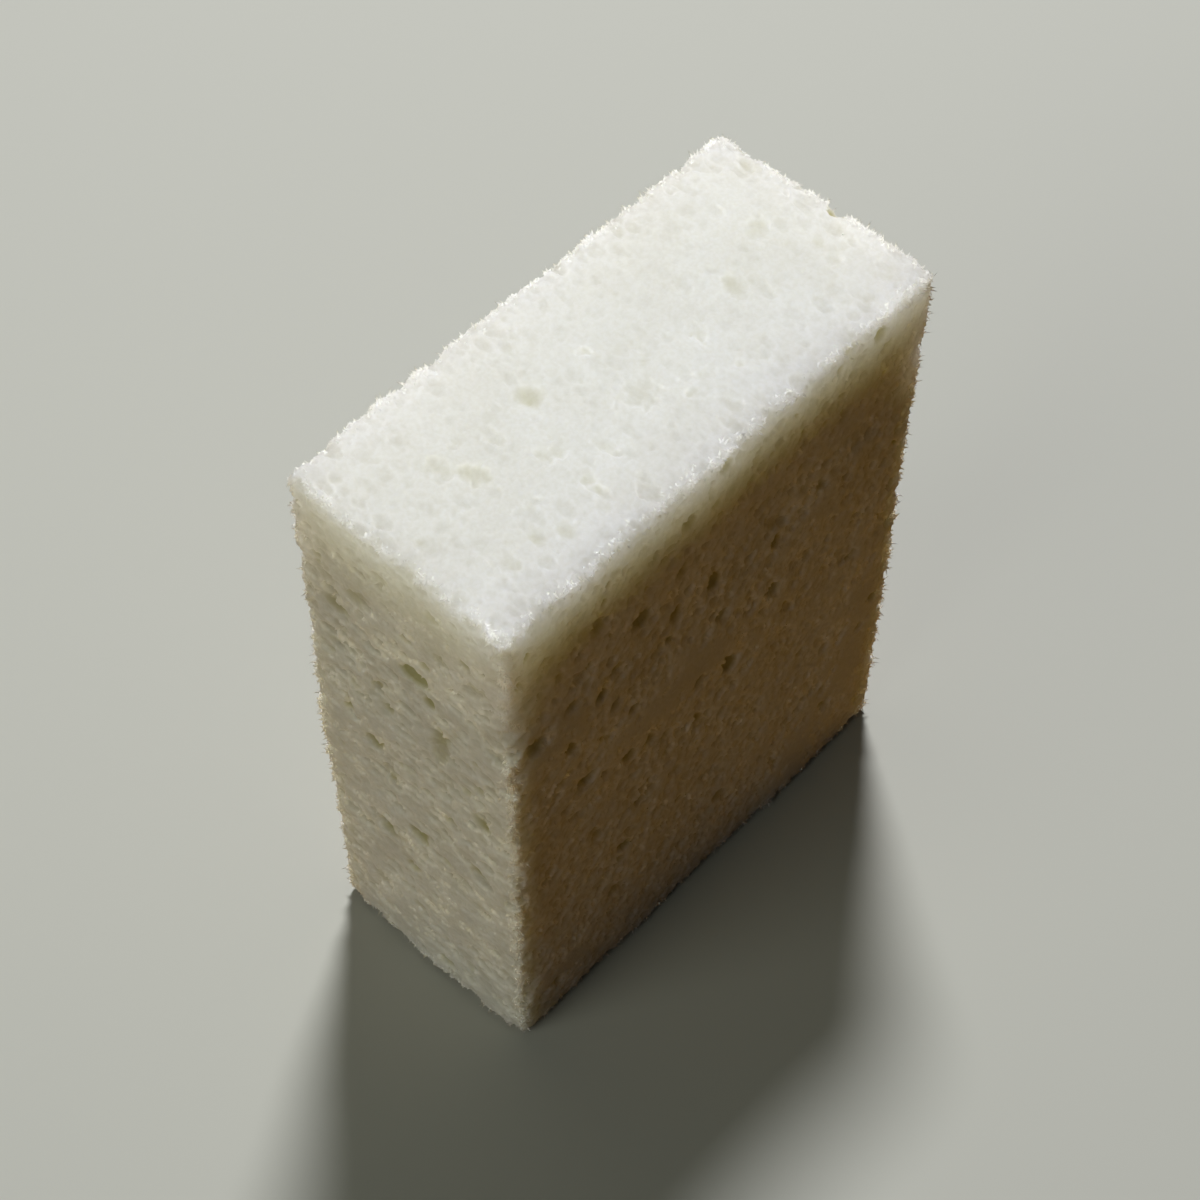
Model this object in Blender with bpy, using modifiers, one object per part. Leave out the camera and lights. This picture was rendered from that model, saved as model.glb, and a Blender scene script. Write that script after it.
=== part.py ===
# Pop-up sponge: one block of wet cellulose foam, standing on one of its small ends.
# Metres, +Z up. The origin is the middle of the end that it stands on.

import math

import bmesh
import bpy
import numpy as np

# The block. The dry sponge is a pressed sheet: in water it swells along Y only.
BLOCK_WIDTH = 0.085
BLOCK_THICKNESS = 0.040
BLOCK_HEIGHT = 0.110
EDGE_ROUNDING = 0.0008
ROUNDING_STEPS = 2

# The cells that the cut faces lay open. Each is a round bubble, drawn out along Y.
CELL_DRAW = 1.55
CELL_WIDTH_LEAST = 0.0018
CELL_WIDTH_MOST = 0.0044
CELL_PITCH = 0.0110
CELL_WALL = 0.0004
CELL_UNEVEN = 0.14
BURIED_MOST = 0.30
PROUD_MOST = 0.35
CELL_DETAIL = (6, 3)
VOID_DETAIL = (8, 5)
SEED = 7
TRIES_PER_CELL = 12

# A patch in the middle of the foot that no cell breaks, where the block is set down.
FOOT_PATCH_RADIUS = 0.004

# The large voids, where bubbles ran together. Each line has the face, the place on it as
# shares of its half width and half height, then the void's width, height and depth in
# metres, and the side on which its second bubble lies, in degrees, or None.
VOIDS = (
    ("top", -0.28, 0.28, 0.0038, 0.0042, 0.0046, None),
    ("top", 0.49, -0.12, 0.0068, 0.0044, 0.0030, 15),
    ("top", -0.03, -0.22, 0.0052, 0.0050, 0.0018, 60),
    ("top", -0.61, 0.04, 0.0036, 0.0040, 0.0034, 300),
    ("top", -0.67, 0.30, 0.0024, 0.0032, 0.0026, None),
    ("top", -0.57, -0.66, 0.0030, 0.0036, 0.0030, 250),
    ("top", -0.78, -0.56, 0.0030, 0.0030, 0.0020, None),
    ("top", 0.94, 0.56, 0.0050, 0.0034, 0.0018, None),
    ("top", 0.99, -0.14, 0.0030, 0.0034, 0.0026, None),
    ("top", 0.73, 0.15, 0.0030, 0.0034, 0.0022, 200),
    ("top", 0.27, -0.13, 0.0030, 0.0034, 0.0022, None),
    ("top", 0.58, -0.95, 0.0034, 0.0032, 0.0026, None),
    ("left", 0.10, 0.54, 0.0050, 0.0032, 0.0040, 75),
    ("left", 0.28, 0.29, 0.0040, 0.0072, 0.0024, 265),
    ("left", -0.40, 0.05, 0.0036, 0.0034, 0.0026, None),
    ("left", 0.66, 0.08, 0.0042, 0.0030, 0.0030, None),
    ("left", -0.01, -0.26, 0.0038, 0.0034, 0.0028, None),
    ("left", 0.64, -0.20, 0.0036, 0.0028, 0.0026, 170),
    ("left", -0.36, -0.38, 0.0044, 0.0034, 0.0018, None),
    ("front", -0.39, 0.61, 0.0038, 0.0034, 0.0040, None),
    ("front", -0.22, 0.49, 0.0026, 0.0046, 0.0034, 280),
    ("front", -0.59, 0.73, 0.0032, 0.0042, 0.0018, None),
    ("front", -0.04, 0.48, 0.0030, 0.0040, 0.0032, None),
    ("front", 0.27, 0.42, 0.0022, 0.0042, 0.0030, None),
    ("front", 0.07, 0.03, 0.0032, 0.0038, 0.0036, 120),
    ("front", -0.43, 0.02, 0.0028, 0.0034, 0.0036, None),
    ("front", -0.65, 0.10, 0.0034, 0.0030, 0.0030, 40),
    ("right", 0.35, 0.38, 0.0040, 0.0034, 0.0034, 80),
    ("right", -0.42, -0.24, 0.0046, 0.0036, 0.0028, None),
    ("back", 0.31, 0.36, 0.0036, 0.0040, 0.0038, 130),
    ("back", -0.52, -0.12, 0.0032, 0.0036, 0.0034, None),
    ("back", 0.12, -0.58, 0.0034, 0.0030, 0.0030, 20),
    ("foot", 0.46, 0.28, 0.0038, 0.0040, 0.0030, None),
    ("foot", -0.55, -0.30, 0.0034, 0.0040, 0.0028, 100),
)
LOBE_SIZE = 0.62
LOBE_REACH = 0.80

FOAM_COLOUR = (0.752, 0.760, 0.694, 1.0)
FOAM_ROUGHNESS = 0.92

half = np.array([BLOCK_WIDTH, BLOCK_THICKNESS, BLOCK_HEIGHT]) / 2
middle = np.array([0.0, 0.0, BLOCK_HEIGHT / 2])
draw = np.array([1.0, CELL_DRAW, 1.0])

# Each face: its outward normal and its height direction. Its width runs to the right, as
# someone who looks straight at the face from outside sees it.
FACES = {
    "top": ((0, 0, 1), (0, 1, 0)),
    "foot": ((0, 0, -1), (0, 1, 0)),
    "front": ((0, -1, 0), (0, 0, 1)),
    "back": ((0, 1, 0), (0, 0, 1)),
    "left": ((-1, 0, 0), (0, 0, 1)),
    "right": ((1, 0, 0), (0, 0, 1)),
}


def clear_scene():
    for leftover in list(bpy.data.objects):
        bpy.data.objects.remove(leftover, do_unlink=True)


def new_collection(name):
    made = bpy.data.collections.new(name)
    bpy.context.scene.collection.children.link(made)
    return made


def foam_material():
    foam = bpy.data.materials.new("cellulose_foam")
    foam.use_nodes = True
    shader = foam.node_tree.nodes["Principled BSDF"]
    shader.inputs["Base Color"].default_value = FOAM_COLOUR
    shader.inputs["Roughness"].default_value = FOAM_ROUGHNESS
    shader.inputs["Metallic"].default_value = 0.0
    return foam


def ball(sides, rings):
    """A ball of radius 1 with its poles on Z: its mesh, and its points as an array."""
    shape = bmesh.new()
    bmesh.ops.create_uvsphere(shape, u_segments=sides, v_segments=rings, radius=1.0)
    mesh = bpy.data.meshes.new("ball")
    shape.to_mesh(mesh)
    shape.free()
    return mesh, np.array([vert.co for vert in mesh.vertices])


def add_bubble(cutter, mesh, points):
    """Adds one bubble to the cutter: the ball's mesh, with its points moved to their places."""
    mesh.vertices.foreach_set("co", points.ravel())
    cutter.from_mesh(mesh)


def face_frame(face):
    """The face's width, height and outward directions, as rows, and the block's reach in each."""
    normal, height_way = FACES[face]
    axes = np.array([np.cross(height_way, normal), height_way, normal], dtype=float)
    return axes, np.abs(axes) @ half


def uneven_turn(rough):
    """A turn about the face's normal with a little shear, which keeps flat facets flat."""
    turn = rough.uniform(0, math.tau)
    spin = np.array([[math.cos(turn), math.sin(turn), 0],
                     [-math.sin(turn), math.cos(turn), 0],
                     [0, 0, 1]])
    return spin @ (np.eye(3) + CELL_UNEVEN * rough.uniform(-1, 1, (3, 3)))


def opens_cleanly(points):
    """A bubble either breaks well through a face or leaves a wall between them."""
    past = np.concatenate([points.max(axis=0) - (middle + half),
                           (middle - half) - points.min(axis=0)])
    return np.abs(past).min() > CELL_WALL


def stands_apart(centre, radius, taken):
    """True if a bubble keeps a wall to the others, judged with the draw along Y undone."""
    return all(np.linalg.norm((centre - other) / draw) > radius + other_radius + CELL_WALL
               for other, other_radius in taken)


def add_voids(cutter, taken, rough):
    """The listed voids, each with its second bubble where it has one."""
    mesh, unit = ball(*VOID_DETAIL)
    for face, across, up, width, height, depth, lobe_side in VOIDS:
        axes, reach = face_frame(face)
        centre = middle + reach * (across, up, 1) @ axes
        semi = np.array([width, height, 2 * depth]) / 2
        shape = uneven_turn(rough)
        add_bubble(cutter, mesh, centre + unit @ shape * semi @ axes)
        radius = (semi / (np.abs(axes) @ draw)).max()
        if lobe_side is not None:
            angle = math.radians(lobe_side)
            aside = LOBE_REACH * semi * (math.cos(angle), math.sin(angle), 0)
            add_bubble(cutter, mesh, centre + (aside + LOBE_SIZE * unit @ shape * semi) @ axes)
            radius *= LOBE_REACH + LOBE_SIZE
        taken.append((centre, radius))


def add_cells(cutter, face, taken, rough):
    """Bubbles scattered over one face, as many as its area holds at the cells' pitch."""
    mesh, unit = ball(*CELL_DETAIL)
    axes, reach = face_frame(face)
    wanted = round(4 * reach[0] * reach[1] / CELL_PITCH ** 2)
    placed = 0
    for _ in range(wanted * TRIES_PER_CELL):
        if placed == wanted:
            break
        radius = rough.triangular(CELL_WIDTH_LEAST, CELL_WIDTH_LEAST, CELL_WIDTH_MOST) / 2
        place = reach * np.append(rough.uniform(-1, 1, 2), 1)
        place[2] -= radius * rough.uniform(-PROUD_MOST, BURIED_MOST)
        centre = middle + place @ axes
        semi = radius * (np.abs(axes) @ draw)
        points = centre + unit @ uneven_turn(rough) * semi @ axes
        clear_of_patch = np.linalg.norm(centre) > FOOT_PATCH_RADIUS + semi.max()
        if clear_of_patch and opens_cleanly(points) and stands_apart(centre, radius, taken):
            add_bubble(cutter, mesh, points)
            taken.append((centre, radius))
            placed += 1


def make_cutter(collection):
    """All the bubbles that the faces lay open, as one object."""
    rough = np.random.default_rng(SEED)
    shape, taken = bmesh.new(), []
    add_voids(shape, taken, rough)
    for face in FACES:
        add_cells(shape, face, taken, rough)
    mesh = bpy.data.meshes.new("bubbles")
    shape.to_mesh(mesh)
    shape.free()
    mesh.shade_smooth()
    cutter = bpy.data.objects.new("bubbles", mesh)
    collection.objects.link(cutter)
    cutter.hide_render = True
    cutter.display_type = "WIRE"
    return cutter


def make_block(collection, cutter):
    bpy.ops.mesh.primitive_cube_add(size=1.0, location=middle)
    block = bpy.context.object
    block.name = block.data.name = "sponge_block"
    block.scale = 2 * half
    bpy.ops.object.transform_apply(location=False, rotation=False, scale=True)
    for holder in list(block.users_collection):
        holder.objects.unlink(block)
    collection.objects.link(block)
    block.data.materials.append(foam_material())

    rounding = block.modifiers.new("rounded_edges", "BEVEL")
    rounding.width = EDGE_ROUNDING
    rounding.segments = ROUNDING_STEPS

    # A void's two bubbles overlap, so the cutter is let cross itself.
    opening = block.modifiers.new("opened_bubbles", "BOOLEAN")
    opening.operation = "DIFFERENCE"
    opening.solver = "EXACT"
    opening.use_self = True
    opening.object = cutter
    return block


clear_scene()
sponge = new_collection("pop_up_sponge")
cutting = new_collection("cutters")
make_block(sponge, make_cutter(cutting))
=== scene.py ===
# A pop-up sponge: one block of wet cellulose foam, standing on its small end.
# The block's size and its broad cells come from the frame; the rest of the foam is grown here.
import math
import time

import bpy
import numpy as np
from mathutils import Matrix, Vector


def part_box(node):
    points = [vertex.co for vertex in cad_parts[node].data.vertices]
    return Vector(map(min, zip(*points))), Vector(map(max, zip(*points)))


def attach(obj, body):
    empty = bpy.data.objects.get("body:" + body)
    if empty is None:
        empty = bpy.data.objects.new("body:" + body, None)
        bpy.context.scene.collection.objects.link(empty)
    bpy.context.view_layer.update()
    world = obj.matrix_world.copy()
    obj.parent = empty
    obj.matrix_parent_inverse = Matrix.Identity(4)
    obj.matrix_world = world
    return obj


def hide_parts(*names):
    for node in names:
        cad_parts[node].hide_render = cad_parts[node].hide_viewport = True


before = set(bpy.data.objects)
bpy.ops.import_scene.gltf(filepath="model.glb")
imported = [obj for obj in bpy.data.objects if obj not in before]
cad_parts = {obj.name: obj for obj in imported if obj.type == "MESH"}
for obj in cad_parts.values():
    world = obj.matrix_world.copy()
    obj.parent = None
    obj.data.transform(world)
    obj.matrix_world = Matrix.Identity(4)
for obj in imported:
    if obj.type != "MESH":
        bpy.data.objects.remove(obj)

begun = time.time()
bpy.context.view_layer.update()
blockLow, blockHigh = (1000 * np.array(corner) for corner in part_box("sponge_block"))
blockMiddle = (blockLow + blockHigh) / 2
blockHalf = (blockHigh - blockLow) / 2
mm = 0.001


def tell(done):
    print(f"{done}: {time.time() - begun:.1f} s")


def lattice(*spans):
    # every place that takes one value from each of three spans
    return np.stack(np.meshgrid(*spans, indexing="ij"), -1).reshape(-1, 3)


corners = lattice([0, 1], [0, 1], [0, 1])   # of a cube of eight samples
margin = 3      # how many samples, and cells of a net, there are beyond the block on every side
mostPower = 30  # exp() is given no more, so that it stays finite

# The foam. Lengths are in millimetres.
foam = {
    "gridStep": 0.29,           # the size of one sample of the foam
    "quickCoarser": 1.8,
    "cornerRound": 1.5,
    "edgeWear": 1.7,            # roughly how far the cut edges are eaten away, at most
    "edgeWearReach": 1.4,       # how far in from an edge the wear fades
    "wearLengths": (0.8, 1.7),  # how long its dents are
    "wearMean": 0.5,            # the root of its strength, as a share, and how far the dents of
    "wearSway": 0.3,            # each length go off that
    "chips": 7.0,               # bites out of the edges: this times the square of how far the
    "chipFrom": 0.2,            # noise that carves them is above the second value
    "chipLength": 2.6,
    "waviness": 0.28,           # how far the cut faces swell and sink, and what share of that
    "sunk": 0.5,                # they lie lower on the whole
    "wavinessLength": 13.0,
    "grain": 0.17,              # the roughness of the cut walls
    "grainLength": 0.62,
    "fray": 0.9,                # how much rougher the walls are at an edge
    "draw": 1.8,                # how far cells are drawn out through the thickness
    "blend": 0.12,              # how softly neighbouring cells run together, and how many
    "blendReach": 3.5,          # times that far it is felt
    "tilt": 0.35,               # how far cells lean, in radians
    "sway": 0.7,                # how far the net of cell walls wanders
    "swayLength": 3.1,
    "skin": (0.45, 1.0),        # how deep under the walls the net is cut, and how far off that
    "relief": (1.0, 0.75, 0.20),    # how much of it is cut across x, y and z
    "faceBlend": 1.5,           # how far round an edge the values of two faces run together
    "edgeRelief": 0.42,         # how much more of it near an edge of the top or the foot, and
    "edgeReliefReach": 3.5,     # how far in that fades
    "calm": 0.4,                # how much less on the sides next to the top or the foot, and
    "calmReach": 8.0,           # how far off that fades
    "poreRelief": 0.30,         # and on the walls of pores, from what depth under a face on
    "poreFrom": 1.2,
    "cadFrom": 0.25,            # how far under its face a point of the solid is part of a cell
    "cadShare": 0.30,           # how much of its depth such a cell keeps
    "cadShallowest": 0.3,
    "cadDeepest": (0.9, 0.9, 0.45),
    "cadNarrowest": 0.5,
    "cadTilt": 0.12,
    "seed": 11,
}
drawnOut = np.array([1, foam["draw"], 1])   # a cell's lengths beside its width

# The net of shallow cells that covers every cut wall: the cells' spacing, the depth of the
# deepest, how wide their rims are, how far they reach as a share of the spacing, and how
# strongly shallow ones outnumber deep ones (at 1 all depths are as frequent).
broadNet = {"spacing": 2.0, "depth": 1.0, "rim": 0.38, "reach": (0.45, 1.15), "shallow": 1.0}
fineNet = {"spacing": 0.85, "depth": 0.30, "rim": 0.26, "reach": (0.45, 1.15), "shallow": 1.0}

# Small round cells strewn over the faces: their radii, how strongly small ones outnumber large
# ones, how uneven their widths are, their spacing, how many radii their middles lie off a face
# at most, and how many of the places stay empty.
pits = {
    "radius": (0.30, 0.60), "smaller": 1.5, "uneven": (0.8, 1.2),
    "spacing": 2.6, "deepest": 0.3, "empty": 0.2,
}

# The pores that stand out on the faces that the camera sees, in millimetres: where each one
# lies, how wide it is both ways, and how deep.
# top: x, y, width along x, width along y, depth
topPores = (
    (-12.0, 5.5, 3.3, 4.6, 0.8), (21.0, -2.5, 3.0, 7.0, 0.7), (-1.5, -4.5, 4.6, 5.2, 0.4),
    (-26.0, 1.0, 3.2, 5.0, 0.5), (-28.5, 4.5, 2.2, 2.8, 0.4), (-40.5, -11.0, 2.4, 2.4, 0.5),
    (-27.5, -11.5, 2.4, 3.4, 0.6), (-24.0, -13.0, 2.4, 3.4, 0.6), (-17.5, -14.0, 2.2, 2.8, 0.4),
    (-16.5, -9.5, 1.8, 2.0, 0.5), (3.0, -1.5, 2.0, 2.2, 0.5), (-2.0, 5.0, 1.8, 2.4, 0.4),
    (-5.0, 2.5, 1.6, 1.8, 0.4), (-23.5, 7.0, 1.8, 3.0, 0.4), (-20.0, 4.0, 1.4, 1.6, 0.4),
    (-15.5, -3.5, 2.0, 3.0, 0.4), (-24.5, -7.0, 1.8, 2.2, 0.4), (-30.5, -9.0, 1.8, 2.0, 0.4),
    (-35.5, -10.5, 1.5, 2.2, 0.4), (-33.0, -11.5, 2.2, 3.2, 0.4), (40.0, 11.5, 2.4, 4.4, 0.5),
    (41.5, -2.5, 3.0, 3.4, 1.6), (39.5, -11.0, 1.8, 2.0, 0.5), (35.0, -4.5, 2.4, 2.4, 0.6),
    (31.5, 3.0, 2.0, 3.0, 0.5), (30.0, 9.0, 1.2, 1.4, 0.4), (16.5, -1.5, 1.8, 1.8, 0.4),
    (19.0, 6.5, 1.4, 1.6, 0.3), (11.5, -3.0, 1.8, 3.0, 0.4), (6.5, -8.5, 1.8, 2.2, 0.4),
    (14.5, -12.0, 1.8, 2.6, 0.4), (11.5, -11.0, 1.8, 1.8, 0.5), (18.0, -11.0, 2.1, 2.2, 0.4),
    (22.5, -14.0, 1.6, 1.8, 0.4), (25.0, -19.0, 3.0, 3.2, 0.7), (32.0, -16.0, 2.2, 2.2, 0.5),
    (3.0, -9.5, 1.1, 1.2, 0.6), (42.2, 14.8, 2.4, 3.0, 1.2), (42.2, 8.0, 2.0, 2.4, 1.0),
)
# left: y, z, width along y, width along z, depth
leftPores = (
    (-2.0, 84.5, 5.0, 2.6, 1.8), (-4.5, 80.5, 2.4, 2.8, 1.3), (-6.0, 71.5, 3.6, 7.4, 0.9),
    (-4.5, 90.0, 2.6, 1.6, 0.8), (4.0, 70.5, 1.8, 1.8, 0.9), (8.0, 58.0, 2.6, 3.0, 1.0),
    (5.0, 51.0, 2.0, 2.0, 0.9), (-10.5, 64.5, 2.0, 2.0, 0.9), (-13.0, 68.0, 2.4, 2.4, 0.9),
    (-13.5, 59.0, 3.6, 2.4, 1.0), (0.0, 40.5, 2.8, 3.0, 1.2), (-7.0, 52.5, 2.6, 1.8, 0.9),
    (-13.0, 44.0, 3.4, 2.2, 1.2), (2.5, 28.5, 2.6, 2.4, 1.0), (-5.5, 39.5, 2.6, 2.2, 0.9),
    (6.0, 74.0, 2.6, 2.4, 1.0), (-12.5, 98.0, 2.2, 1.6, 0.7), (7.5, 34.5, 3.8, 3.4, 0.9),
)
# front: x, z, width along x, width along z, depth
frontPores = (
    (-1.5, 81.5, 2.8, 4.0, 1.5), (11.5, 78.0, 1.8, 3.4, 1.3), (-8.5, 91.0, 2.4, 3.4, 1.0),
    (-16.5, 88.5, 3.2, 3.8, 1.3), (-9.5, 82.0, 2.2, 3.8, 1.2), (-25.0, 95.5, 2.8, 3.8, 0.9),
    (-24.5, 79.0, 2.4, 3.0, 1.1), (-4.0, 60.0, 1.9, 2.6, 1.0), (3.0, 56.5, 2.8, 3.6, 1.3),
    (15.0, 58.5, 1.9, 2.6, 1.0), (-3.5, 49.0, 2.4, 3.0, 1.1), (-30.5, 72.5, 2.4, 2.6, 1.0),
    (-27.5, 60.5, 2.8, 2.8, 1.1), (-16.0, 41.0, 2.0, 2.4, 1.0), (-19.0, 32.0, 2.6, 2.6, 1.1),
    (-18.5, 56.0, 2.4, 3.2, 1.1), (-14.0, 55.5, 2.0, 2.8, 1.0),
)

# Torn threads that stand up from the edges: how many to each square millimetre there, how
# far from an edge they thin out, their lengths, and how far they lean and bend.
threads = {
    "density": 14.0,
    "edgeReach": 1.2,
    "length": (0.2, 1.0),
    "shorter": 2.5,             # how strongly short ones outnumber long ones
    "lean": 1.0,
    "bend": 0.5,
    "waist": 0.5,               # its place along the thread, and its share of the bend
    "waistBend": 0.2,
    "waistWidth": 0.6,          # of the mesh face that the thread grows from
    "footGap": 0.8,             # how far above the floor threads start, and how far above it
    "tipGap": 0.05,             # their tips stay
}


def smoothNoise(shape, spacing, rough):
    # random values on a coarse lattice, carried over to the samples axis by axis, each
    # sample a blend of its two lattice neighbours by 3t^2 - 2t^3
    spacing = np.broadcast_to(spacing, 3)
    coarse = [int(n / s) + 3 for n, s in zip(shape, spacing)]
    noise = rough.uniform(-1, 1, coarse).astype(np.float32)
    for axis in range(3):
        place = np.arange(shape[axis]) / spacing[axis]
        below = place.astype(int)
        t = (place - below).astype(np.float32)
        t = t * t * (3 - 2 * t)
        t = t.reshape([-1 if a == axis else 1 for a in range(3)])
        noise = noise.take(below, axis) * (1 - t) + noise.take(below + 1, axis) * t
    return noise


def leaning(count, tilt, rough):
    # turns by three small random angles, one matrix for each cell
    a, b, c = rough.uniform(-tilt, tilt, (3, count))
    one, zero = np.ones(count), np.zeros(count)
    aboutX = np.array([[one, zero, zero], [zero, np.cos(a), -np.sin(a)], [zero, np.sin(a), np.cos(a)]])
    aboutY = np.array([[np.cos(b), zero, np.sin(b)], [zero, one, zero], [-np.sin(b), zero, np.cos(b)]])
    aboutZ = np.array([[np.cos(c), -np.sin(c), zero], [np.sin(c), np.cos(c), zero], [zero, zero, one]])
    return np.einsum("abn,bcn,cdn->nad", aboutX, aboutY, aboutZ)


def openCells(voids, grid, centres, radii, turns):
    # adds exp(-distance / blend) of each cell to the samples round it, where distance is
    # measured from the cell's wall, and is about (|p / radii| - 1) times the least radius
    step, corner, shape = grid["step"], grid["corner"], voids.shape
    felt = foam["blendReach"] * foam["blend"]
    reach = radii + felt
    flat = voids.reshape(-1)
    atOnce = 4000000    # samples
    for kind in np.unique(np.ceil(reach.max(axis=0) / step)[None], axis=0):
        offsets = lattice(*(np.arange(-int(k), int(k) + 1) for k in kind))
        batches = max(1, len(centres) * len(offsets) // atOnce)
        for part in np.array_split(np.arange(len(centres)), batches):
            home = np.rint((centres[part] - corner) / step).astype(int)
            spots = home[:, None] + offsets
            apart = (spots * step + corner - centres[part][:, None]).astype(np.float32)
            apart = np.einsum("nsa,nab->nsb", apart, turns[part].astype(np.float32))
            least = radii[part].min(axis=1)[:, None]
            wall = (np.sqrt(((apart / radii[part][:, None]) ** 2).sum(-1)) - 1) * least
            held = ((spots >= 0) & (spots < shape)).all(-1) & (wall < felt)
            spots, wall = spots[held], wall[held]
            place = np.ravel_multi_index(spots.T, shape)
            power = np.minimum(-wall / foam["blend"], mostPower)
            np.add.at(flat, place, np.exp(power).astype(np.float32))


def strewnCells(kind, rough):
    # a jittered lattice through the block, of which only cells that reach a face are kept
    low, high = kind["radius"]
    gap = kind["spacing"] * drawnOut
    counts = np.ceil(2 * blockHalf / gap).astype(int) + 1
    places = lattice(*(np.arange(n) for n in counts))
    places = (places + rough.uniform(-0.5, 0.5, places.shape)) * gap + blockLow
    radius = low + (high - low) * rough.random(len(places)) ** kind["smaller"]
    full = rough.random(len(places)) > kind["empty"]
    depth = (blockHalf - np.abs(places - blockMiddle)) / (radius[:, None] * drawnOut)
    near = (np.abs(depth.min(axis=1)) < kind["deepest"]) & full
    centres, radius = places[near], radius[near]
    squash = rough.uniform(*kind["uneven"], (len(radius), 3))
    radii = radius[:, None] * drawnOut * squash
    return centres, radii, leaning(len(centres), foam["tilt"], rough)


def cadCells(rough):
    # the broad cells of the frame's solid: its points that lie well under the faces, joined
    # along its edges into groups, and each group's box read as half of a round cell
    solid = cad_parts["sponge_block"].data
    points = np.empty(3 * len(solid.vertices))
    solid.vertices.foreach_get("co", points)
    points = points.reshape(-1, 3) / mm
    ends = np.empty(2 * len(solid.edges), np.int64)
    solid.edges.foreach_get("vertices", ends)
    ends = ends.reshape(-1, 2)
    # the solid's corners are stored apart for each triangle, so equal places become one
    places, same = np.unique(np.round(points, 3), axis=0, return_inverse=True)
    ends = same.reshape(-1)[ends]
    depths = blockHalf - np.abs(places - blockMiddle)
    deep = depths.min(axis=1) > foam["cadFrom"]
    ends = ends[deep[ends].all(axis=1)]
    label = spreadLabels(len(places), ends)
    centres, radii = [], []
    for group in np.unique(label[deep]):
        held = (label == group) & deep
        low, high = places[held].min(axis=0), places[held].max(axis=0)
        axis = depths[held].min(axis=0).argmin()
        centre, reach = (low + high) / 2, np.maximum((high - low) / 2, foam["cadNarrowest"])
        side = np.sign(centre[axis] - blockMiddle[axis])
        deepest = blockHalf[axis] - side * ((low if side > 0 else high)[axis] - blockMiddle[axis])
        reach[axis] = np.clip(foam["cadShare"] * deepest, foam["cadShallowest"], foam["cadDeepest"][axis])
        centre[axis] = blockMiddle[axis] + side * blockHalf[axis]
        centres.append(centre)
        radii.append(reach)
    return np.array(centres), np.array(radii), leaning(len(centres), foam["cadTilt"], rough)


def seenCells(rough):
    # the pores listed above, each a dish sunk in its face
    centres, radii = [], []
    for pores, axis, side in ((topPores, 2, 1), (leftPores, 0, -1), (frontPores, 1, -1)):
        pores = np.array(pores)
        face = np.full(len(pores), blockMiddle[axis] + side * blockHalf[axis])
        centres.append(np.insert(pores[:, :2], axis, face, axis=1))
        radii.append(np.insert(pores[:, 2:4] / 2, axis, pores[:, 4], axis=1))
    centres, radii = np.concatenate(centres), np.concatenate(radii)
    return centres, radii, leaning(len(centres), foam["tilt"] / 2, rough)


def makeNet(kind, rough):
    # a jittered lattice of cells: its middles, how far each cell reaches and how deep it is cut
    gap = kind["spacing"] * drawnOut.astype(np.float32)
    counts = np.ceil(2 * blockHalf / gap).astype(int) + 2 * margin + 1
    return {
        "kind": kind, "gap": gap, "counts": counts,
        "jitter": rough.random((counts.prod(), 3)).astype(np.float32),
        "reach": rough.uniform(*kind["reach"], counts.prod()).astype(np.float32),
        "deep": (rough.random(counts.prod()) ** kind["shallow"]).astype(np.float32),
    }


def insideNet(points, net):
    # how far each point lies inside its cell: the lesser of half the gap between its two
    # nearest middles and what is left of the cell's own reach. And how deep the cell is cut
    counts, jitter = net["counts"], net["jitter"]
    place = ((points - blockLow) / net["gap"] + margin).astype(np.float32)
    home = place.astype(np.int32)
    place -= home
    home = np.ravel_multi_index(home.T, counts)
    first = np.full(len(points), np.inf, np.float32)
    second = first.copy()
    own = home.copy()
    for offset in np.ndindex(3, 3, 3):
        offset = np.array(offset, np.float32) - 1
        spot = home + int(offset @ [counts[1] * counts[2], counts[2], 1])
        apart = np.sqrt(((place - offset - jitter[spot]) ** 2).sum(-1))
        nearer = apart < first
        second = np.where(nearer, first, np.minimum(second, apart))
        own = np.where(nearer, spot, own)
        first = np.minimum(first, apart)
    inside = np.minimum((second - first) / 2, net["reach"][own] - first)
    return inside * net["kind"]["spacing"], net["deep"][own]


def netDepth(points, net):
    # the bowls that the cut leaves in the net's cells, falling from the rim by 1 - (1 - t)^2
    inside, deep = insideNet(points, net)
    t = np.clip(inside / net["kind"]["rim"], 0, 1)
    return net["kind"]["depth"] * deep * (1 - (1 - t) ** 2)


def nearness(under):
    # how much each of the three nearest faces counts at a point that lies this far under them
    return np.exp(-under / foam["faceBlend"])


def reliefAt(under):
    # how much of the net is cut at a point that lies this far under the three nearest faces:
    # the mean of the three faces' reliefs, weighted by how near each face is
    near = nearness(under)
    calm = 1 - foam["calm"] * np.exp(-(under[:, 2] / foam["calmReach"]) ** 2)
    second = np.sort(under, axis=1)[:, 1]
    upper = foam["relief"][2] + foam["edgeRelief"] * np.exp(-second / foam["edgeReliefReach"])
    relief = near[:, 0] * foam["relief"][0] * calm + near[:, 1] * foam["relief"][1] * calm
    return (relief + near[:, 2] * upper) / near.sum(axis=1)


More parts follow.
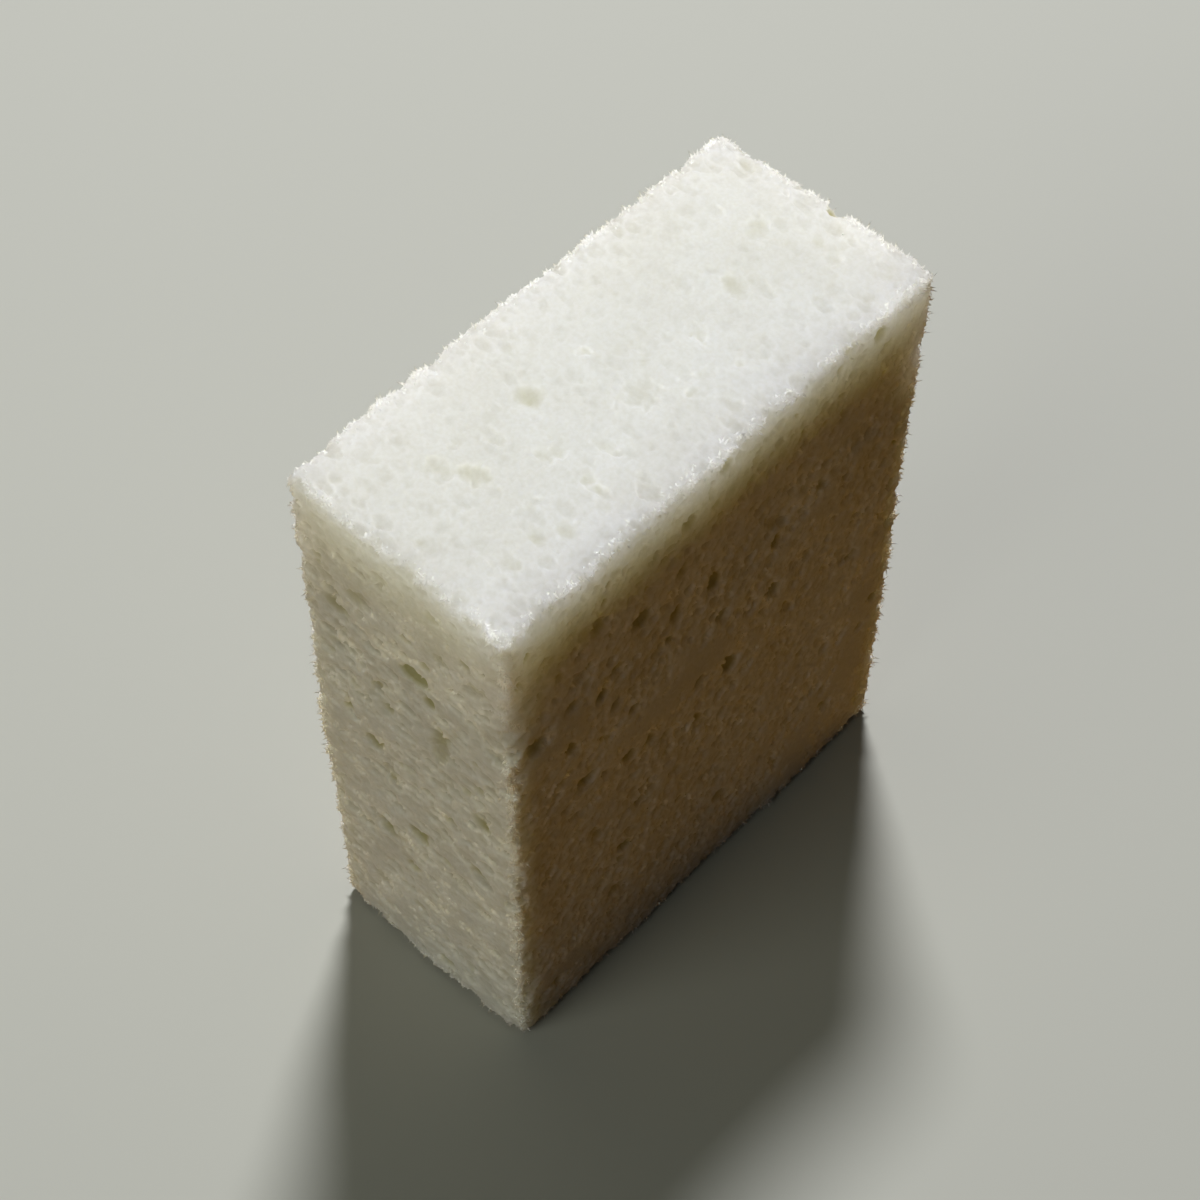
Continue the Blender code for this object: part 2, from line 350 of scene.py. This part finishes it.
def foamField(step):
    # how far inside the foam each sample lies: the block's own distance, less the cells
    rough = np.random.default_rng(foam["seed"])
    corner = blockLow - margin * step
    shape = tuple(np.ceil(2 * blockHalf / step).astype(int) + 2 * margin + 1)
    axes = [corner[a] + step * np.arange(shape[a]) for a in range(3)]
    gaps = [(blockHalf[a] - np.abs(axes[a] - blockMiddle[a])).astype(np.float32).reshape(
        [-1 if b == a else 1 for b in range(3)]) for a in range(3)]
    nearest = np.minimum(np.minimum(gaps[0], gaps[1]), gaps[2])
    inset = [np.maximum(foam["cornerRound"] - g, 0) for g in gaps]
    rounded = foam["cornerRound"] - np.sqrt(inset[0] ** 2 + inset[1] ** 2 + inset[2] ** 2)
    solid = np.where(nearest > foam["cornerRound"], nearest, rounded)
    # distance to the nearest edge: the two smaller gaps taken together
    largest = np.maximum(np.maximum(gaps[0], gaps[1]), gaps[2])
    second = gaps[0] + gaps[1] + gaps[2] - nearest - largest
    edge = np.sqrt(np.maximum(nearest, 0) ** 2 + np.maximum(second, 0) ** 2)
    wear = foam["wearMean"]
    for length in foam["wearLengths"]:
        wear = wear + foam["wearSway"] * smoothNoise(shape, drawnOut * length / step, rough)
    chips = np.maximum(smoothNoise(shape, foam["chipLength"] / step, rough) - foam["chipFrom"], 0)
    worn = foam["edgeWear"] * wear * wear + foam["chips"] * chips * chips
    solid -= worn * np.exp(-edge / foam["edgeWearReach"])
    solid += foam["waviness"] * (smoothNoise(shape, foam["wavinessLength"] / step, rough) - foam["sunk"])
    tell("block")

    grid = {"step": step, "corner": corner}
    voids = np.exp(np.clip(-solid / foam["blend"], -2 * mostPower, mostPower)).astype(np.float32)
    for name, cells in (("pits", strewnCells(pits, rough)), ("cells of the frame's solid", cadCells(rough)),
                        ("listed pores", seenCells(rough))):
        openCells(voids, grid, *cells)
        tell(f"{len(cells[0])} {name}")
    field = -foam["blend"] * np.log(voids)
    walls = field.copy()
    sway = [foam["sway"] * smoothNoise(shape, foam["swayLength"] / step, rough) for _ in range(3)]
    nets = [makeNet(kind, rough) for kind in (broadNet, fineNet)]
    depth, band = foam["skin"]
    skin = (np.abs(field - depth) < band) & (nearest > 0)
    points = np.argwhere(skin) * step + corner + np.stack([part[skin] for part in sway], 1)
    under = np.stack([np.broadcast_to(g, shape)[skin] for g in gaps], 1)
    relief = np.where(nearest[skin] > foam["poreFrom"], foam["poreRelief"], reliefAt(under))
    field[skin] -= relief * sum(netDepth(points, net) for net in nets)
    tell(f"net of cells on {len(points)} samples")
    frayed = 1 + foam["fray"] * np.exp(-edge / foam["edgeWearReach"])
    field += foam["grain"] * frayed * smoothNoise(shape, foam["grainLength"] / step, rough)
    # no cell runs on under a lid of foam: seen from the nearest face, each sample is as much
    # foam as any above it
    for axis in range(3):
        nearFace = np.broadcast_to(gaps[axis], shape) <= nearest
        middle = shape[axis] // 2
        for way in (slice(0, middle), slice(None, middle - 1, -1)):
            part = tuple(way if a == axis else slice(None) for a in range(3))
            np.copyto(field[part], np.maximum.accumulate(field[part], axis), where=nearFace[part])
    # nothing of the foam lies past the block's faces
    field = np.minimum(field, nearest)
    return {"step": step, "corner": corner, "cut": field, "block": solid, "walls": walls, "sway": sway,
            "nets": nets}


def readField(grown, field, points):
    # the field at any place, blended from the eight samples round it
    place = (points - grown["corner"]) / grown["step"]
    home = place.astype(int)
    t = place - home
    found = np.zeros(len(points))
    for i, j, k in corners:
        share = np.where([i, j, k], t, 1 - t).prod(axis=1)
        found += share * field[home[:, 0] + i, home[:, 1] + j, home[:, 2] + k]
    return found


def mendPinches(field, cubes):
    # where the foam, or the air, in a cube of eight samples falls into parts that only touch
    # at a corner, the surface would be pinched: the least airy sample there becomes foam
    beside = np.abs(corners[:, None] - corners).sum(-1) == 1
    whole = np.ones(256, bool)
    for code in range(256):
        for side in (0, 1):
            held = (code >> np.arange(8) & 1) == side
            reached = held & (np.cumsum(held) == 1)
            for _ in range(7):
                reached = held & (reached | beside[reached].any(axis=0))
            whole[code] &= (reached == held).all()
    flat = field.reshape(-1)
    steps = np.ravel_multi_index(corners.T, field.shape)
    justFoam = 0.02
    filled = 0
    while len(cubes):
        values = flat[cubes[:, None] + steps]
        pinched = ~whole[((values > 0) << np.arange(8)).sum(axis=1)]
        cubes, values = cubes[pinched], values[pinched]
        least = np.where(values > 0, -np.inf, values).argmax(axis=1)
        mended = np.unique(cubes + steps[least])
        flat[mended] = justFoam
        filled += len(mended)
        cubes = np.unique(mended[:, None] - steps)
    print(f"pinches mended: {filled}")


def crossedCubes(field):
    inside = field > 0
    shape = np.array(field.shape) - 1
    held = np.zeros(shape, np.uint8)
    for i, j, k in corners:
        held += inside[i:i + shape[0], j:j + shape[1], k:k + shape[2]]
    return np.argwhere((held > 0) & (held < 8)).astype(np.int32)


def netSurface(field, corner, step):
    # one point in each cube of samples that the surface crosses, at the mean of the
    # crossings on its edges, and one four-sided face for each crossed edge of the lattice
    mendPinches(field, np.ravel_multi_index(crossedCubes(field).T, field.shape))
    inside = field > 0
    shape = np.array(field.shape) - 1
    cubes = crossedCubes(field)
    number = np.full(shape, -1, np.int32)
    number[tuple(cubes.T)] = np.arange(len(cubes), dtype=np.int32)
    flat = field.reshape(-1)
    values = np.stack([flat[np.ravel_multi_index((cubes + c).T, field.shape)] for c in corners], 1)
    points = np.zeros((len(cubes), 3), np.float32)
    crossings = np.zeros(len(cubes), np.float32)
    for a in range(8):
        for b in range(a + 1, 8):
            if np.abs(corners[a] - corners[b]).sum() != 1:
                continue
            here = (values[:, a] > 0) != (values[:, b] > 0)
            t = np.where(here, values[:, a] / np.where(here, values[:, a] - values[:, b], 1), 0)
            points += np.where(here[:, None], corners[a] + t[:, None] * (corners[b] - corners[a]), 0)
            crossings += here
    points = (cubes + points / crossings[:, None]) * step + corner

    faces = []
    for axis in range(3):
        u, v = (axis + 1) % 3, (axis + 2) % 3
        first = np.take(inside, np.arange(shape[axis]), axis)
        after = np.take(inside, np.arange(1, shape[axis] + 1), axis)
        spots = np.argwhere(first != after)
        across = spots[:, [u, v]]
        spots = spots[((across > 0) & (across < shape[[u, v]])).all(axis=1)]
        outward = first[tuple(spots.T)]
        ring = []
        for stepU, stepV in ((1, 1), (0, 1), (0, 0), (1, 0)):
            shifted = spots.copy()
            shifted[:, u] -= stepU
            shifted[:, v] -= stepV
            ring.append(number[tuple(shifted.T)])
        ring = np.stack(ring, 1)
        ring[~outward] = ring[~outward][:, ::-1]
        faces.append(ring)
    return np.clip(points, blockLow, blockHigh), np.concatenate(faces)


def edgesOf(faces):
    return np.concatenate([faces[:, [0, 1]], faces[:, [1, 2]], faces[:, [2, 3]], faces[:, [3, 0]]])


def relaxed(points, faces):
    # each point moves half way to the middle of the points that it is joined to
    ends = edgesOf(faces)
    joined = np.bincount(ends[:, 0], minlength=len(points))[:, None]
    middle = np.stack([np.bincount(ends[:, 0], points[ends[:, 1], a], len(points)) for a in range(3)], 1)
    return (points + middle / joined) / 2


def spreadLabels(count, ends):
    # the least point number that each point is joined to, found by passing the lower number
    # along the edges and jumping to it, until nothing changes
    label = np.arange(count)
    while True:
        lower = np.minimum(label[ends[:, 0]], label[ends[:, 1]])
        new = label.copy()
        np.minimum.at(new, ends[:, 0], lower)
        np.minimum.at(new, ends[:, 1], lower)
        new = new[new]
        if (new == label).all():
            return label
        label = new


def largestShell(points, faces):
    # the mesh without crumbs that hang free and hollows that nothing opens
    label = spreadLabels(len(points), edgesOf(faces))
    main = np.bincount(label).argmax()
    kept = label == main
    renumber = np.cumsum(kept) - 1
    print(f"crumbs and closed hollows dropped: {(~kept).sum()} points of {len(points)}")
    return points[kept], renumber[faces[kept[faces[:, 0]]]]


def growThreads(points, faces, rough):
    # a thread grows from a four-sided face: a smaller copy of the face part way along it and
    # a tip. Returns the points, the four-sided faces, the three-sided ones, and how many of
    # the first belong to no thread
    quad = points[faces]
    middle = quad.mean(axis=1)
    normal = np.cross(quad[:, 2] - quad[:, 0], quad[:, 3] - quad[:, 1])
    twiceArea = np.linalg.norm(normal, axis=1)
    normal /= np.maximum(twiceArea, 1e-9)[:, None]
    gaps = np.sort(blockHalf - np.abs(middle - blockMiddle), axis=1)
    fromEdge = (gaps[:, 0] ** 2 + gaps[:, 1] ** 2) / threads["edgeReach"] ** 2
    density = threads["density"] * np.exp(-fromEdge)
    # none grows at the foot, where it couldn't be seen
    grown = (rough.random(len(faces)) < density * twiceArea / 2) & (middle[:, 2] > threads["footGap"])
    quad, middle, normal = quad[grown], middle[grown], normal[grown]
    count = len(quad)
    lean = normal + threads["lean"] * rough.uniform(-1, 1, (count, 3))
    lean /= np.linalg.norm(lean, axis=1)[:, None]
    low, high = threads["length"]
    length = low + (high - low) * rough.random((count, 1)) ** threads["shorter"]
    reach = length * lean
    bend = threads["bend"] * length * rough.uniform(-1, 1, (count, 3))
    waist = (middle + threads["waist"] * reach + threads["waistBend"] * bend)[:, None]
    waist = waist + threads["waistWidth"] * (quad - middle[:, None])
    tip = middle + reach + bend
    tip[:, 2] = np.maximum(tip[:, 2], threads["tipGap"])
    waistAt = len(points) + np.arange(4 * count).reshape(-1, 4)
    tipAt = len(points) + 4 * count + np.arange(count)
    sides, tips = [], []
    for a, b in ((0, 1), (1, 2), (2, 3), (3, 0)):
        root = faces[grown]
        sides.append(np.stack([root[:, a], root[:, b], waistAt[:, b], waistAt[:, a]], 1))
        tips.append(np.stack([waistAt[:, a], waistAt[:, b], tipAt], 1))
    points = np.concatenate([points, waist.reshape(-1, 3), tip])
    print(f"threads grown: {count}")
    return points, np.concatenate([faces[~grown], *sides]), np.concatenate(tips), (~grown).sum()


def faceMap(points, middles, counts):
    # the six faces of the block laid out flat, each part of the mesh on the face that it lies
    # nearest to. A point under a face is moved aside by a share of its depth, so that the
    # steep walls of the cells keep some width on the map
    width, thickness, height = 2 * blockHalf
    gap = 4.0       # millimetres between two faces on the map
    aside = 0.35
    side = 2 * width + thickness + 4 * gap
    places = {
        (1, -1): (gap, gap), (1, 1): (width + 2 * gap, gap), (0, -1): (2 * width + 3 * gap, gap),
        (0, 1): (gap, height + 2 * gap), (2, 1): (height + 2 * gap, height + 2 * gap),
        (2, -1): (height + 2 * gap, height + thickness + 3 * gap),
    }
    offset = (middles - blockMiddle) / blockHalf
    reach = blockHalf - np.abs(middles - blockMiddle)
    axis = reach.argmin(axis=1)
    sign = np.where(np.take_along_axis(offset, axis[:, None], 1)[:, 0] > 0, 1, -1)
    axis, sign = np.repeat(axis, counts), np.repeat(sign, counts)
    local = points - blockLow
    under = aside * (blockHalf - np.abs(points - blockMiddle))
    uv = np.zeros((len(points), 2))
    for (a, s), (left, low) in places.items():
        u, v = {0: (1, 2), 1: (0, 2), 2: (0, 1)}[a]
        if (a, s) == (0, 1):
            u, v = v, u
        here = (axis == a) & (sign == s)
        uv[here, 0] = left + local[here, u] + under[here, a]
        uv[here, 1] = low + local[here, v] + under[here, a]
    return uv / side


def meshObject(name, points, groups, smooth, material):
    # groups are arrays of faces, each with as many columns as its faces have corners. The
    # first faces are shaded smooth and the rest flat
    mesh = bpy.data.meshes.new(name)
    mesh.vertices.add(len(points))
    mesh.vertices.foreach_set("co", (points * mm).astype(np.float32).ravel())
    loops = np.concatenate([faces.ravel() for faces in groups]).astype(np.int32)
    counts = np.concatenate([np.full(len(faces), faces.shape[1]) for faces in groups])
    mesh.loops.add(len(loops))
    mesh.loops.foreach_set("vertex_index", loops)
    mesh.polygons.add(len(counts))
    mesh.polygons.foreach_set("loop_start", (np.cumsum(counts) - counts).astype(np.int32))
    mesh.update(calc_edges=True)
    mesh.shade_smooth()
    mesh.polygons.foreach_set("use_smooth", np.arange(len(counts)) < smooth)
    mesh.materials.append(material)
    middles = np.concatenate([points[faces].mean(axis=1) for faces in groups])
    layer = mesh.uv_layers.new(name="OFBake")
    layer.uv.foreach_set("vector", faceMap(points[loops], middles, counts).astype(np.float32).ravel())
    thing = bpy.data.objects.new(name, mesh)
    bpy.context.scene.collection.objects.link(thing)
    return thing


finish = {
    "rimColour": (0.84, 0.845, 0.815, 1),       # the cut rims of the cells
    "hollowTintAndShadeColour": (0.58, 0.57, 0.48, 1),      # the floors of the shallow cells: partly a warmer tint, partly painted shade
    "poreTintAndShadeColour": (0.50, 0.48, 0.28, 1),        # tints the inside of the pores warmer and darker: partly tint, partly painted shade
    "hollow": (0.05, 0.85),     # how far under the rims the floors' tint and painted shade start and are full, in millimetres
                                # millimetres
    "pore": (0.12, 0.75),       # and the same for a pore, under the worn face
    "topPores": 0.58,           # how much of a pore's depth counts on the top and the foot
    "litWallColour": (0.97, 0.97, 0.95, 1),        # painted light: the thin walls that catch the light, made paler
    "rimWidth": 0.16,           # how far in from a wall its painted light reaches, in millimetres
    "rimStrength": 0.5,
    "fineRims": 0.5,            # how strong the painted light on the fine net's rims is beside the broad one's
    "fibreScale": 850,          # cells of a finer net, drawn only as pale lines of painted light, to a metre
    "fibreWidth": 0.12,         # half the width of a line, as a share of its cell
    "fibreStrength": 0.2,
    "fibreSway": 0.0010,        # how far the lines wander, in metres
    "fibreSwayScale": 425,
    # a fine and a broad noise that tint the foam: their size, and what span of their values
    # runs from none of the tint to all of it
    "crumb": {"scale": 1700, "detail": 3, "span": (0.38, 0.62)},
    "crumbTint": (0.96, 0.955, 0.935, 1),
    "patch": {"scale": 95, "detail": 2, "span": (0.4, 0.6)},
    "patchTint": (0.97, 0.965, 0.95, 1),
    "speckleScale": 2600,       # the grain in the surface, too fine for the mesh
    "speckleDetail": 3,
    "speckleStrength": 0.5,
    "speckleHeight": 0.0001,    # metres
    "roughness": (0.82, 0.97),
    "specular": 0.2,
    # how far red, green and blue light spreads under the surface, in metres
    "scatterRadius": (0.0235, 0.0225, 0.0165),
    "threadScatter": 0.12,      # how much of that is left in the threads,
    "edgeScatter": 0.18,        # along the rims of the top and the foot and the upright edges,
    "edge": (0.2, 3.0),         # with how far in it is least and full,
    "sideScatter": 0.20,        # and on the sides, with how far under the top it is full and
    "glow": (6.0, 26.0),        # least
    "sheen": 0.12,
}


def foamMaterial():
    material = bpy.data.materials.new("cellulose_foam")
    material.use_nodes = True
    nodes, links = material.node_tree.nodes, material.node_tree.links
    shader = nodes["Principled BSDF"]
    shader.inputs["Specular IOR Level"].default_value = finish["specular"]
    shader.inputs["Subsurface Weight"].default_value = 1.0
    # this way of spreading light glows further below the top edges than a random walk does
    shader.subsurface_method = "BURLEY"
    shader.inputs["Subsurface Radius"].default_value = finish["scatterRadius"]
    shader.inputs["Sheen Weight"].default_value = finish["sheen"]
    place = nodes.new("ShaderNodeTexCoord")

    def spread(value, span):
        # the span's first value becomes 0 and its second 1
        ramp = nodes.new("ShaderNodeMapRange")
        ramp.inputs["From Min"].default_value = span[0]
        ramp.inputs["From Max"].default_value = span[1]
        links.new(value, ramp.inputs["Value"])
        return ramp.outputs["Result"]

    def attribute(name, span):
        # one of the mesh's own
        found = nodes.new("ShaderNodeAttribute")
        found.attribute_name = name
        return spread(found.outputs["Fac"], span)

    def grain(scale, detail):
        # a noise on the object's own coordinates
        noise = nodes.new("ShaderNodeTexNoise")
        noise.inputs["Scale"].default_value = scale
        noise.inputs["Detail"].default_value = detail
        links.new(place.outputs["Object"], noise.inputs["Vector"])
        return noise.outputs["Fac"]

    def tint(scale, detail, span):
        return spread(grain(scale, detail), span)

    def mixed(blend, factor, below, above):
        mix = nodes.new("ShaderNodeMix")
        mix.data_type = "RGBA"
        mix.blend_type = blend
        links.new(factor, mix.inputs["Factor"])
        if isinstance(below, tuple):
            mix.inputs["A"].default_value = below
        else:
            links.new(below, mix.inputs["A"])
        mix.inputs["B"].default_value = above
        return mix.outputs["Result"]

    def litFibreLines():
        # lines where the cells of a wandering net drawn out through the thickness meet, painted pale as
        # thin walls that light passes through
        sway = nodes.new("ShaderNodeTexNoise")
        sway.inputs["Scale"].default_value = finish["fibreSwayScale"]
        links.new(place.outputs["Object"], sway.inputs["Vector"])
        wander = nodes.new("ShaderNodeVectorMath")
        wander.operation = "MULTIPLY_ADD"
        wander.inputs[1].default_value = (finish["fibreSway"],) * 3
        links.new(sway.outputs["Color"], wander.inputs[0])
        links.new(place.outputs["Object"], wander.inputs[2])
        drawn = nodes.new("ShaderNodeVectorMath")
        drawn.operation = "MULTIPLY"
        drawn.inputs[1].default_value = (1, 1 / foam["draw"], 1)
        links.new(wander.outputs["Vector"], drawn.inputs[0])
        net = nodes.new("ShaderNodeTexVoronoi")
        net.feature = "DISTANCE_TO_EDGE"
        net.inputs["Scale"].default_value = finish["fibreScale"]
        links.new(drawn.outputs["Vector"], net.inputs["Vector"])
        ramp = nodes.new("ShaderNodeMapRange")
        ramp.interpolation_type = "SMOOTHSTEP"
        ramp.inputs["From Max"].default_value = finish["fibreWidth"]
        ramp.inputs["To Min"].default_value = finish["fibreStrength"]
        ramp.inputs["To Max"].default_value = 0
        links.new(net.outputs["Distance"], ramp.inputs["Value"])
        # the lines fade with the relief of the face that they are on
        faded = nodes.new("ShaderNodeMath")
        faded.operation = "MULTIPLY"
        links.new(ramp.outputs["Result"], faded.inputs[0])
        links.new(attribute("relief", (0.0, 1.0)), faded.inputs[1])
        return faded.outputs["Value"]

    crumb = tint(**finish["crumb"])
    patch = tint(**finish["patch"])
    hollow = attribute("hollow", finish["hollow"])
    # the floors of the cells darker and warmer with depth: partly the foam's own tint, partly painted shade
    colour = mixed("MIX", hollow, finish["rimColour"], finish["hollowTintAndShadeColour"])
    # pale lines of painted light where thin walls meet
    colour = mixed("MIX", litFibreLines(), colour, finish["litWallColour"])
    # pale rims of painted light along the thin walls of the cells
    colour = mixed("MIX", attribute("rims", (0, 1 / finish["rimStrength"])), colour, finish["litWallColour"])
    # the pores warmer and darker with depth: partly tint, partly painted shade
    colour = mixed("MIX", attribute("pore", finish["pore"]), colour, finish["poreTintAndShadeColour"])
    colour = mixed("MULTIPLY", crumb, colour, finish["crumbTint"])
    colour = mixed("MULTIPLY", patch, colour, finish["patchTint"])
    links.new(colour, shader.inputs["Base Color"])
    links.new(attribute("scatter", (0, 1)), shader.inputs["Subsurface Scale"])
    gloss = nodes.new("ShaderNodeMapRange")
    gloss.inputs["To Min"].default_value = finish["roughness"][0]
    gloss.inputs["To Max"].default_value = finish["roughness"][1]
    links.new(crumb, gloss.inputs["Value"])
    links.new(gloss.outputs["Result"], shader.inputs["Roughness"])

    bump = nodes.new("ShaderNodeBump")
    bump.inputs["Strength"].default_value = finish["speckleStrength"]
    bump.inputs["Distance"].default_value = finish["speckleHeight"]
    links.new(grain(finish["speckleScale"], finish["speckleDetail"]), bump.inputs["Height"])
    links.new(bump.outputs["Normal"], shader.inputs["Normal"])
    return material


def makeSponge():
    step = foam["gridStep"] * 1
    grown = foamField(step)
    tell("field")
    points, faces = netSurface(grown["cut"], grown["corner"], step)
    points, faces = largestShell(points, faces)
    points = relaxed(points, faces)
    tell("surface")
    # how far each point lies under the foam's broad walls, and those under the worn block: the deeper, the
    # more tint and painted shade the material gives it
    hollow = readField(grown, grown["walls"], points)
    pore = readField(grown, grown["block"], points) - hollow
    under = blockHalf - np.abs(points - blockMiddle)
    relief = reliefAt(under)
    swayed = points + np.stack([readField(grown, part, points) for part in grown["sway"]], 1)
    # the rims of the nets' cells, where the painted light of the thin walls goes
    rims = [np.exp(-(insideNet(swayed, net)[0] / finish["rimWidth"]) ** 2) for net in grown["nets"]]
    rims = relief * (rims[0] + finish["fineRims"] * rims[1])
    # upper is 1 on the top and the foot and 0 on the sides. The pores of the top are lit right
    # to their floors, so only part of their depth counts
    near = nearness(under)
    upper = near[:, 2] / near.sum(axis=1)
    pore *= finish["topPores"] ** upper
    # the rim of the top holds its light, as the upright edges do, and the sides below it glow
    fromEdge = np.sqrt((np.sort(under, axis=1)[:, :2] ** 2).sum(axis=1))
    fromUpright = np.sqrt((under[:, :2] ** 2).sum(axis=1))
    rimmed = upper * fromEdge + (1 - upper) * fromUpright
    scatter = np.interp(rimmed, finish["edge"], (finish["edgeScatter"], 1))
    below = np.interp(blockHigh[2] - points[:, 2], finish["glow"], (1, finish["sideScatter"]))
    scatter *= upper + (1 - upper) * below
    unthreaded = len(points)
    points, faces, tips, smooth = growThreads(points, faces, np.random.default_rng(foam["seed"] + 1))
    tell(f"{len(points)} points and {2 * len(faces) + len(tips)} triangles")
    sponge = meshObject("sponge", points, (faces, tips), smooth, foamMaterial())
    for name, values, onThreads in (("hollow", hollow, 0), ("pore", pore, 0), ("relief", relief, 0),
                                    ("rims", rims, 0), ("scatter", scatter, finish["threadScatter"])):
        attribute = sponge.data.attributes.new(name, "FLOAT", "POINT")
        values = np.concatenate([values, np.full(len(points) - unthreaded, onThreads)])
        attribute.data.foreach_set("value", values.astype(np.float32))
    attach(sponge, "root")
    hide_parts("sponge_block")


makeSponge()


# The floor, the lamps and the camera. Lengths are in metres.
stage = {
    "floorSize": 8,
    "floorColour": (0.62, 0.625, 0.577, 1),     # as the camera sees it
    "floorGlow": (0.24, 0.125, 0.025, 1),       # as the foam is lit by it
    "backdropColour": (0.54, 0.54, 0.50, 1),
    "floorFades": (0.3, 0.9),   # from where to where the floor runs over into the backdrop
    "worldStrength": 0.01,
    "keyPower": 9.2,
    "keyColour": (1, 1, 1),
    "keySize": 0.20,
    "keySpot": (0.396, 0.340, 0.970),
    "fillPower": 2.4,
    "fillColour": (0.96, 1, 0.86),
    "fillSize": 0.8,
    "fillSpot": (-0.9, 0.1, 0.5),
    "lampsLookAt": (0, 0, 0.05),
}


def areaLamp(name):
    spot, target = stage[name + "Spot"], stage["lampsLookAt"]
    light = bpy.data.lights.new(name, "AREA")
    light.shape = "DISK"
    light.energy = stage[name + "Power"]
    light.size = stage[name + "Size"]
    light.color = stage[name + "Colour"]
    lamp = bpy.data.objects.new(name, light)
    lamp.location = spot
    lamp.rotation_euler = (Vector(target) - Vector(spot)).to_track_quat("-Z", "Y").to_euler()
    bpy.context.scene.collection.objects.link(lamp)


def floorMaterial():
    surface = bpy.data.materials.new("floor")
    surface.use_nodes = True
    nodes, links = surface.node_tree.nodes, surface.node_tree.links
    shader = nodes["Principled BSDF"]
    shader.inputs["Roughness"].default_value = 1.0
    shader.inputs["Specular IOR Level"].default_value = 0.0
    seenBy = nodes.new("ShaderNodeLightPath")
    tone = nodes.new("ShaderNodeMix")
    tone.data_type = "RGBA"
    tone.inputs["A"].default_value = stage["floorGlow"]
    tone.inputs["B"].default_value = stage["floorColour"]
    links.new(seenBy.outputs["Is Camera Ray"], tone.inputs["Factor"])
    links.new(tone.outputs["Result"], shader.inputs["Base Color"])
    # far from the sponge the camera sees the floor run over into the backdrop
    place = nodes.new("ShaderNodeTexCoord")
    far = nodes.new("ShaderNodeVectorMath")
    far.operation = "LENGTH"
    links.new(place.outputs["Object"], far.inputs[0])
    fade = nodes.new("ShaderNodeMapRange")
    fade.interpolation_type = "SMOOTHSTEP"
    fade.inputs["From Min"].default_value = stage["floorFades"][0]
    fade.inputs["From Max"].default_value = stage["floorFades"][1]
    links.new(far.outputs["Value"], fade.inputs["Value"])
    seen = nodes.new("ShaderNodeMath")
    seen.operation = "MULTIPLY"
    links.new(fade.outputs["Result"], seen.inputs[0])
    links.new(seenBy.outputs["Is Camera Ray"], seen.inputs[1])
    backdrop = nodes.new("ShaderNodeEmission")
    backdrop.inputs["Color"].default_value = stage["backdropColour"]
    blend = nodes.new("ShaderNodeMixShader")
    links.new(seen.outputs["Value"], blend.inputs["Fac"])
    links.new(shader.outputs["BSDF"], blend.inputs[1])
    links.new(backdrop.outputs["Emission"], blend.inputs[2])
    links.new(blend.outputs["Shader"], nodes["Material Output"].inputs["Surface"])
    return surface


def makeFloor():
    bpy.ops.mesh.primitive_plane_add(size=stage["floorSize"])
    floor = bpy.context.object
    floor.name = "floor"
    floor.data.materials.append(floorMaterial())


def makeWorld():
    # a faint even light, behind which the camera sees the backdrop
    world = bpy.data.worlds.new("studio")
    bpy.context.scene.world = world
    world.use_nodes = True
    nodes, links = world.node_tree.nodes, world.node_tree.links
    light = nodes["Background"]
    light.inputs["Color"].default_value = (1, 1, 1, 1)
    light.inputs["Strength"].default_value = stage["worldStrength"]
    seen = nodes.new("ShaderNodeBackground")
    seen.inputs["Color"].default_value = stage["backdropColour"]
    path = nodes.new("ShaderNodeLightPath")
    mix = nodes.new("ShaderNodeMixShader")
    links.new(path.outputs["Is Camera Ray"], mix.inputs["Fac"])
    links.new(light.outputs["Background"], mix.inputs[1])
    links.new(seen.outputs["Background"], mix.inputs[2])
    links.new(mix.outputs["Shader"], nodes["World Output"].inputs["Surface"])


camera = {
    "spot": (-0.16247, -0.14633, 0.36707),
    "lookAt": (-0.0007, 0.0027, 0.055),
    "roll": 0.37,               # degrees
    "lens": 76.82,
}


def makeCamera():
    data = bpy.data.cameras.new("camera")
    data.lens = camera["lens"]
    data.sensor_width = 36
    data.clip_start = 0.01
    view = bpy.data.objects.new("camera", data)
    bpy.context.scene.collection.objects.link(view)
    ahead = (Vector(camera["lookAt"]) - Vector(camera["spot"])).normalized()
    upright = ahead.to_track_quat("-Z", "Y").to_matrix().to_4x4()
    roll = Matrix.Rotation(math.radians(camera["roll"]), 4, "Z")
    view.matrix_world = Matrix.Translation(camera["spot"]) @ upright @ roll
    bpy.context.scene.camera = view


makeFloor()
makeWorld()
areaLamp("key")
areaLamp("fill")
makeCamera()
bpy.context.scene.view_settings.view_transform = "Standard"

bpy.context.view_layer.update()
tell("done")
